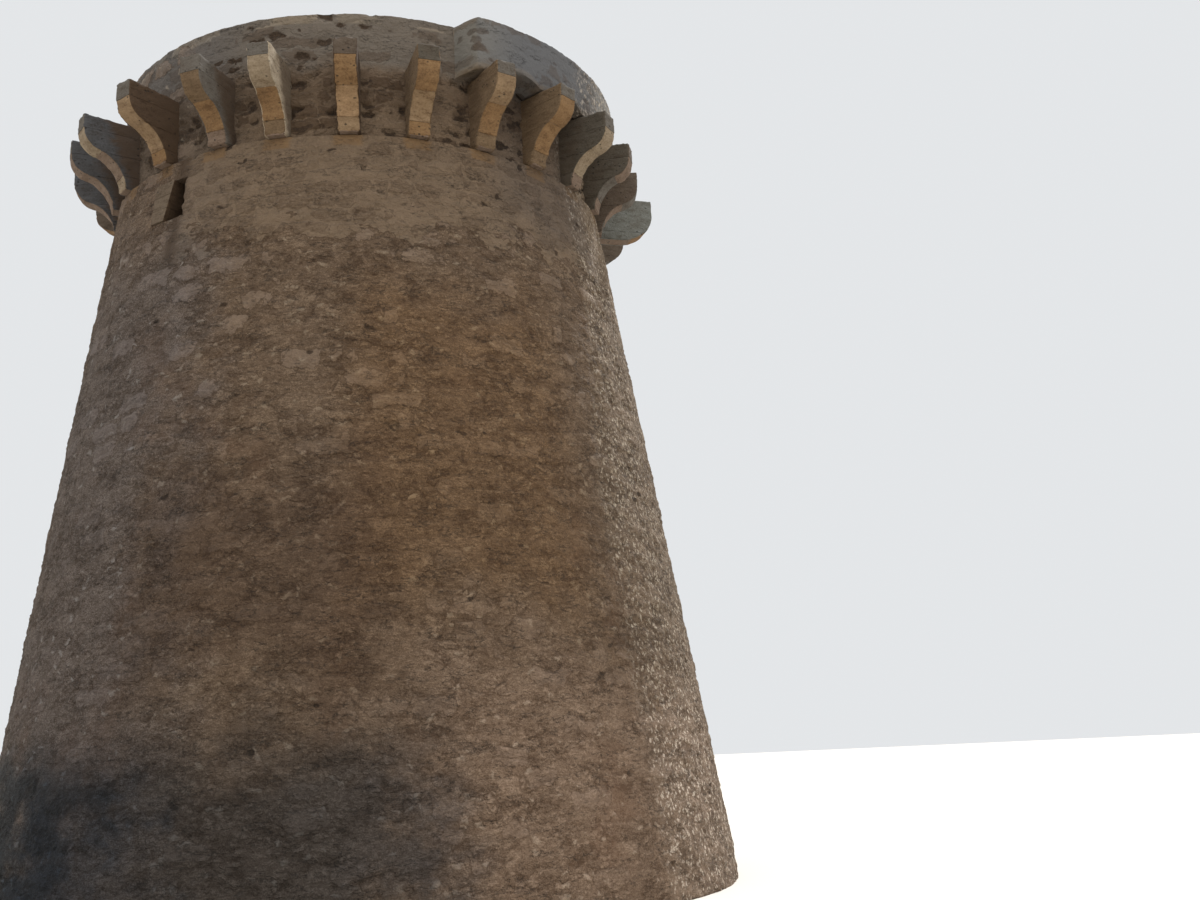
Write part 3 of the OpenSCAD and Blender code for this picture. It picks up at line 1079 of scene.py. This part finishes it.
def ogee(z):
    """Reach of a common corbel from the axis at a height."""
    swell = nose_r - swell_r + np.sqrt(np.clip(swell_r**2 - np.clip(nose_z - z, 0, None) ** 2, 0, None))
    hollow = foot_r + hollow_r - np.sqrt(np.clip(hollow_r**2 - (z - wall_top_z) ** 2, 0, None))
    return np.where(z >= nose_z - swell_r * math.sin(turn), swell, hollow)


def quarter_round(z):
    """Reach of a longer corbel, which is level under its big swell."""
    down = np.clip(band_top_z - long_nose_h - z, 0, long_swell_r)
    return parapet_r + long_reach - long_swell_r + np.sqrt(long_swell_r**2 - down**2)


print("ogee turns through", round(math.degrees(turn), 1), "degrees")

# %% Corbel stones
corbel_cell = 0.034
mortar_cell = 0.05
mortar_set = 0.014
mortar_gap_below = 0.01
mortar_gap_above = 0.02
mortar_course = 4
tail = 0.06
profile_points = 400


def corbel_stone(profile, foot_z, low, high, width, inset, course, cell=corbel_cell):
    """One stone of a corbel on azimuth 0, with its outer face on the profile."""
    z = np.linspace(low, high, profile_points)
    r = profile(z) - inset
    run = np.concatenate([[0], np.cumsum(np.hypot(np.diff(z), np.diff(r)))])
    inner_r = parapet_r - tail

    def place(across, into, up):
        face_z = np.interp(up * run[-1], run, z)
        face_r = np.interp(up * run[-1], run, r)
        back_z = low + (high - low) * up
        reach = face_r + (inner_r - face_r) * into
        return np.stack([(across - 0.5) * width, -reach, face_z + (back_z - face_z) * into], 1)

    shares = lipped(width, cell), lipped(float(r.max() - inner_r), cell), lipped(run[-1], cell)
    shown = [face for face, at_end in (("top", high == band_top_z), ("bottom", low <= foot_z)) if at_end]
    made = shell(shares, place, ("outer", "start", "end", *shown), course)
    made["flank"] = made["beside"]
    return made


def corbel_stack(profile, foot_z, heights, nudges):
    """The stones of a corbel from the top down, and the mortar in its joints."""
    stones = []
    top = band_top_z
    for course, (height, nudge) in enumerate(zip((*heights, top), nudges)):
        low = max(top - height, foot_z)
        stones.append(corbel_stone(profile, foot_z, low, top, corbel_w, nudge, course))
        top = low - joint_h
    low, high = foot_z + mortar_gap_below, band_top_z - mortar_gap_above
    width = corbel_w - 2 * mortar_set
    return [*stones, corbel_stone(profile, foot_z, low, high, width, mortar_set, mortar_course, mortar_cell)]


common_corbel = corbel_stack(ogee, wall_top_z, stone_heights, (0.0, 0.004, 0.0, 0.004))
long_foot_z = band_top_z - long_nose_h - long_swell_r
longer_corbel = corbel_stack(quarter_round, long_foot_z, [long_stone_h], (0.0, 0.002))
print("stones in a corbel", len(common_corbel) - 1, "and in a longer one", len(longer_corbel) - 1)

# %% The tree that sets corbels round the tower
ring_numbers = ["First corbel", "Corbels", "First azimuth", "Pitch", "Out of true", "Nose lift"]
graph, given = geometry_tree("corbel ring", [*ring_numbers, *depth_names])
row = graph.node("GeometryNodeMeshLine", {}, {"Count": given["Corbels"], "Offset": (0, 0, 0)})
number = graph.node("GeometryNodeInputIndex") + given["First corbel"]
luck = graph.node("FunctionNodeRandomValue", {}, {2: -1.0, 3: 1.0, "ID": number, "Seed": 5}, 1)
azimuth = given["First azimuth"] + number * given["Pitch"] + luck * given["Out of true"]
turned = azimuth * math.radians(1)
lift = graph.node("FunctionNodeRandomValue", {}, {2: 0.0, 3: 1.0, "ID": number, "Seed": 8}, 1)
lift = lift * given["Nose lift"]
values = {"Points": row, "Instance": given["Geometry"], "Rotation": graph.joined(z=turned)}
ring = graph.node("GeometryNodeInstanceOnPoints", {}, values)
for name, value in (("corbel", number), ("turned", turned), ("lift", lift)):
    settings = {"data_type": "FLOAT", "domain": "INSTANCE"}
    values = {"Geometry": ring, "Name": name, "Value": value}
    ring = graph.node("GeometryNodeStoreNamedAttribute", settings, values)
ring = graph.node("GeometryNodeRealizeInstances", {}, {"Geometry": ring})

# The first joint and the edge of the nose stand higher on some corbels
height = graph.parts(graph.node("GeometryNodeInputPosition"))[2]
nearness = height.step(wall_top_z, nose_z) * height.step(band_top_z, nose_z)
ring = graph.moved(ring, graph.joined(z=graph.stored("lift") * nearness))

direction = graph.stored("outward", "FLOAT_VECTOR")
values = {"Vector": direction, "Axis": (0, 0, 1), "Angle": graph.stored("turned")}
direction = graph.node("ShaderNodeVectorRotate", {"rotation_type": "AXIS_ANGLE"}, values)
worn = weather(graph, ring, direction, [given[name] for name in depth_names])
ring_tree = close_tree(graph, worn, given["Material"])
print("corbel tree", len(ring_tree.nodes), "nodes")

# %% Four groups of corbels and the two longer ones
corbel_depths = [0.0, 0.0, 0.018, 0.006, 0.009, 0.0, 0.009]
out_of_true = 0.7
nose_lift = 0.07
# Tone letters of the four stones from the top down, then of the flanks
# Over the stones' own colours the flank letters carry painted shade, slate-blue on the corbels to the left,
# and painted light on corbel 2
corbel_tones = {
    0: "ghhou", 1: "gtorg", 2: "gpotw", 3: "bochu", 4: "nohot", 5: "ghott", 6: "goott", 7: "gpprn",
    8: "brgrn", 9: "ggrgb", 10: "mo__m", 11: "bg__b", 22: "grrrs", 23: "grrrs", 24: "gprps",
}
other_tones = ["gohtn", "gohhb", "gtoou", "ghotb"]
# Degrees round, metres out and metres down at the back of the top, of corbels that stand out of true
corbel_nudges = {
    1: (0.9, 0.0, 0.03), 0: (0.0, 0.0, 0.05), 24: (-2.2, 0.0, 0.05), 23: (0.0, 0.0, 0.05),
    22: (0.0, 0.0, 0.05), 8: (0.0, -0.035, 0.0),
}


def nudge_corbels(made):
    """Moves single corbels of a ring out of true."""
    mesh = made.data
    points = np.zeros(len(mesh.vertices) * 3)
    mesh.vertices.foreach_get("co", points)
    x, y, z = points.reshape(-1, 3).T
    corbel = np.round(read(mesh.attributes["corbel"].data, "value"))
    for index, (degrees, out, down) in corbel_nudges.items():
        own = corbel == index
        r = np.hypot(x, y)
        share = np.clip((r - parapet_r) / corbel_reach, 0, 1)
        angle = np.arctan2(x, -y) + np.radians(degrees)
        r = r + out * share
        z = np.where(own, z - down * (1 - share) * np.clip((z - nose_z) / nose_h, 0, 1), z)
        x = np.where(own, r * np.sin(angle), x)
        y = np.where(own, -r * np.cos(angle), y)
    mesh.vertices.foreach_set("co", np.stack([x, y, z], 1).ravel())


def corbel_tone(corbel, course, flank):
    code = corbel_tones.get(corbel, other_tones[corbel % len(other_tones)])
    if flank:
        return code[-1]
    return "r" if course == mortar_course else code[course]


def corbel_group(node, shells, first, count, lift):
    numbers = {"First corbel": float(first), "Corbels": float(count), "First azimuth": corbel_az,
               "Pitch": corbel_pitch, "Out of true": out_of_true, "Nose lift": lift}
    made = grown(node + "_stones", shells, corbel_depths, cut_finish, ring_tree, numbers)
    nudge_corbels(made)
    paint_tones(made, corbel_tone)
    settle(made, "corbel_stone", node)


groups = [("front_right", 0, 6), ("back_right", 6, long_first - 6), ("back_left", 12, 6),
          ("front_left", 18, 7)]
for side, first, count in groups:
    corbel_group(f"corbels_{side}", common_corbel, first, count, nose_lift)
corbel_group("long_corbel", longer_corbel, long_first, long_count, 0.0)
print("with corbels", sum(made_triangles.values()), "triangles")

# %% [markdown]
# The upper wall and the parapet
#
# Behind the corbels the wall stands upright and a hand's breadth back. It runs on up as the
# parapet, whose rim has lost its edge stones and wavers. Over five corbels on the right a
# length of the parapet stands out to the corbels' noses, on low arches from one to the next.

# %% Upper wall between the corbels
upper_cell = 0.026
upper_fuller = 0.03
upper_depths = [0.012, 0.012, 0.018, 0.010, 0.008, 0.030, 0.0]
edges = [corbel_azimuth(first - 0.5) for first in (0, 6, 12, 18, corbel_count)]


def upper_r(z):
    return np.full_like(z, parapet_r)


for (side, *_), start, end in zip(groups, edges[:-1], edges[1:]):
    length = wall_length(level(start), level(end), wall_top_z, band_top_z, ("outer",), upper_cell,
                         parapet_inner_r, upper_r, fuller=upper_fuller)
    weathered(f"corbel_wall_{side}", [length], upper_finish, upper_depths, "upper_masonry")
print("upper wall done")

# %% Set-back parapet
parapet_cell = 0.034
parapet_depth_cell = 0.045
parapet_fuller = 0.02
parapet_depths = [0.007, 0.007, 0.012, 0.006, 0.006, 0.020, 0.004]
for number, name in enumerate(eighths):
    length = wall_length(level(eighth * number), level(eighth * (number + 1)), band_top_z, rim_z,
                         ("outer", "top", "inner"), parapet_cell, parapet_inner_r, upper_r,
                         parapet_depth_cell, fuller=parapet_fuller)
    weathered(f"parapet_{name}", [length], upper_finish, parapet_depths, "upper_masonry")
print("with the parapet", sum(made_triangles.values()), "triangles")

# %% Projecting parapet on its arches
jut_cell = 0.03
jut_depth_cell = 0.04
jut_depths = [0.003, 0.003, 0.009, 0.001, 0.004, 0.008, 0.005]
jut_low, jut_middle, jut_high = (corbel_azimuth(index) for index in (5, 7, 9))
# The front length starts this many degrees further round at the back, and loses it over the next
front_splay = 2.6
splay_fade = 6


def arched(start, end, splay):
    """The place function of the projecting parapet, whose underside arches between corbels.

    splay is how many degrees further round its start lies at the back."""
    gap = 2 * jut_r * math.sin(math.radians(corbel_pitch / 2)) - corbel_w
    arch_r = (gap**2 / 4 + soffit_rise**2) / (2 * soffit_rise)

    def place(across, into, up):
        r = jut_r + (parapet_r - jut_r) * into
        azimuth = start + (end - start) * across
        azimuth = azimuth - splay * into * np.clip(1 - (azimuth - start) / splay_fade, 0, 1)
        bay = (azimuth - corbel_az) / corbel_pitch % 1 - 0.5
        aside = r * np.sin(np.radians(bay * corbel_pitch))
        within = (azimuth > jut_low) & (azimuth < jut_high)
        rise = soffit_rise - arch_r + np.sqrt(np.clip(arch_r**2 - aside**2, 0, None))
        bottom = band_top_z + np.where(within, np.clip(rise, 0, None), 0)
        return round_place(r, azimuth, bottom + (rim_z - bottom) * up)

    return place


for side, start, end, free, splay in (("front", jut_low - jut_overhang, jut_middle, "start", front_splay),
                                      ("back", jut_middle, jut_high + jut_overhang, "end", 0.0)):
    width = math.radians(end - start) * jut_r
    shares = even(width, jut_cell), even(jut, jut_depth_cell), even(rim_z - band_top_z, jut_cell)
    block = shell(shares, arched(start, end, splay), ("outer", "top", "bottom", free))
    # The free end is marked as another course, which the finish paints lighter: painted light on that end
    block["course"] = block["beside"]
    weathered(f"projecting_parapet_{side}", [block], chalky_finish, jut_depths, "upper_masonry")
print("projecting parapet from", round(jut_low - jut_overhang, 1), "to", round(jut_high + jut_overhang, 1))

# %% Finishes of the pieces that keep their own shape
kept_nodes = {"core_fill": inside_finish, "chamber_floor": inside_finish, "vault": inside_finish,
              "terrace_paving": paving_finish}
for node, finish in kept_nodes.items():
    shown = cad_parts[node]
    shown.data.materials.clear()
    shown.data.materials.append(finish)
print("triangles in all", sum(made_triangles.values()))
print("largest", sorted(made_triangles.items(), key=lambda item: -item[1])[:4])

# %% [markdown]
# Stage, light and camera
#
# The photograph was taken against the sun: the side that is seen has soft light from the sky
# and the ground, and the sun only grazes its right edge. A plain pale floor and an even
# world give the soft light, and one lamp behind the tower on the right gives the grazing
# edge. The camera stands low and looks up with a small roll, as the photographer did.

# %% Floor and world
half_floor = 120.0
floor_colour = (0.55, 0.52, 0.47, 1)
light_colour = (1.0, 1.0, 1.0, 1)
backdrop_colour = (0.86, 0.88, 0.9, 1)
light_strength = 0.85
backdrop_extra = 0.05

floor_mesh = bpy.data.meshes.new("floor")
corners = [(x * half_floor, y * half_floor, 0) for x, y in ((-1, -1), (1, -1), (1, 1), (-1, 1))]
floor_mesh.from_pydata(corners, [], [(0, 1, 2, 3)])
floor_finish = bpy.data.materials.new("pale floor")
floor_finish.use_nodes = True
floor_sockets = floor_finish.node_tree.nodes["Principled BSDF"].inputs
floor_sockets["Base Color"].default_value = floor_colour
floor_sockets["Roughness"].default_value = 0.9
floor_mesh.materials.append(floor_finish)
put("floor", floor_mesh)

world = bpy.data.worlds.new("studio")
bpy.context.scene.world = world
world.use_nodes = True
world.node_tree.nodes.clear()
graph = Graph(world.node_tree)
seen = graph.node("ShaderNodeLightPath", {}, {}, "Is Camera Ray")
colour = graph.mix(light_colour, backdrop_colour, seen)
strength = seen * backdrop_extra + light_strength
background = graph.node("ShaderNodeBackground", {}, {"Color": colour, "Strength": strength})
graph.node("ShaderNodeOutputWorld", {}, {"Surface": background}, ())
bpy.context.scene.view_settings.view_transform = "Standard"
print("floor", 2 * half_floor, "m across")

# %% Lamps
photo_azimuth = 41.0


def from_side(azimuth, elevation):
    """The direction from the tower towards an azimuth and elevation."""
    a, e = math.radians(azimuth), math.radians(elevation)
    return Vector((math.sin(a) * math.cos(e), -math.cos(a) * math.cos(e), math.sin(e)))


def sun(name, azimuth, elevation, strength, softness):
    lamp = bpy.data.lights.new(name, "SUN")
    lamp.energy = strength
    lamp.angle = math.radians(softness)
    placed = put(name, lamp)
    placed.rotation_mode = "QUATERNION"
    placed.rotation_quaternion = from_side(azimuth, elevation).to_track_quat("Z", "Y")


sun("grazing lamp", photo_azimuth + 146, elevation=56, strength=3.6, softness=4)
sun("soft key", photo_azimuth + 15, elevation=60, strength=1.7, softness=80)
print("lamps behind on the right and high in front")

# %% Camera
camera_distance = 16.3
eye_height = 1.55
lens = 39.0
film_width = 36.0
sight = 500.0
pitch = 0.2237
roll = -0.0504
yaw = 0.1818

to_part = Matrix.Rotation(math.radians(photo_azimuth), 3, "Z")
forward = Vector((math.sin(yaw) * math.cos(pitch), math.cos(yaw) * math.cos(pitch), math.sin(pitch)))
level_right = Vector((math.cos(yaw), -math.sin(yaw), 0))
level_up = level_right.cross(forward)
right = level_right * math.cos(roll) + level_up * math.sin(roll)
up = level_up * math.cos(roll) - level_right * math.sin(roll)
axes = Matrix((right, up, -forward)).transposed()
eye = to_part @ Vector((0, -camera_distance, eye_height))
camera = put("camera", bpy.data.cameras.new("camera"))
camera.data.lens = lens
camera.data.sensor_width = film_width
camera.data.clip_end = sight
camera.matrix_world = Matrix.Translation(eye) @ (to_part @ axes).to_4x4()
bpy.context.scene.camera = camera
print("camera at", [round(x, 2) for x in camera.matrix_world.translation])
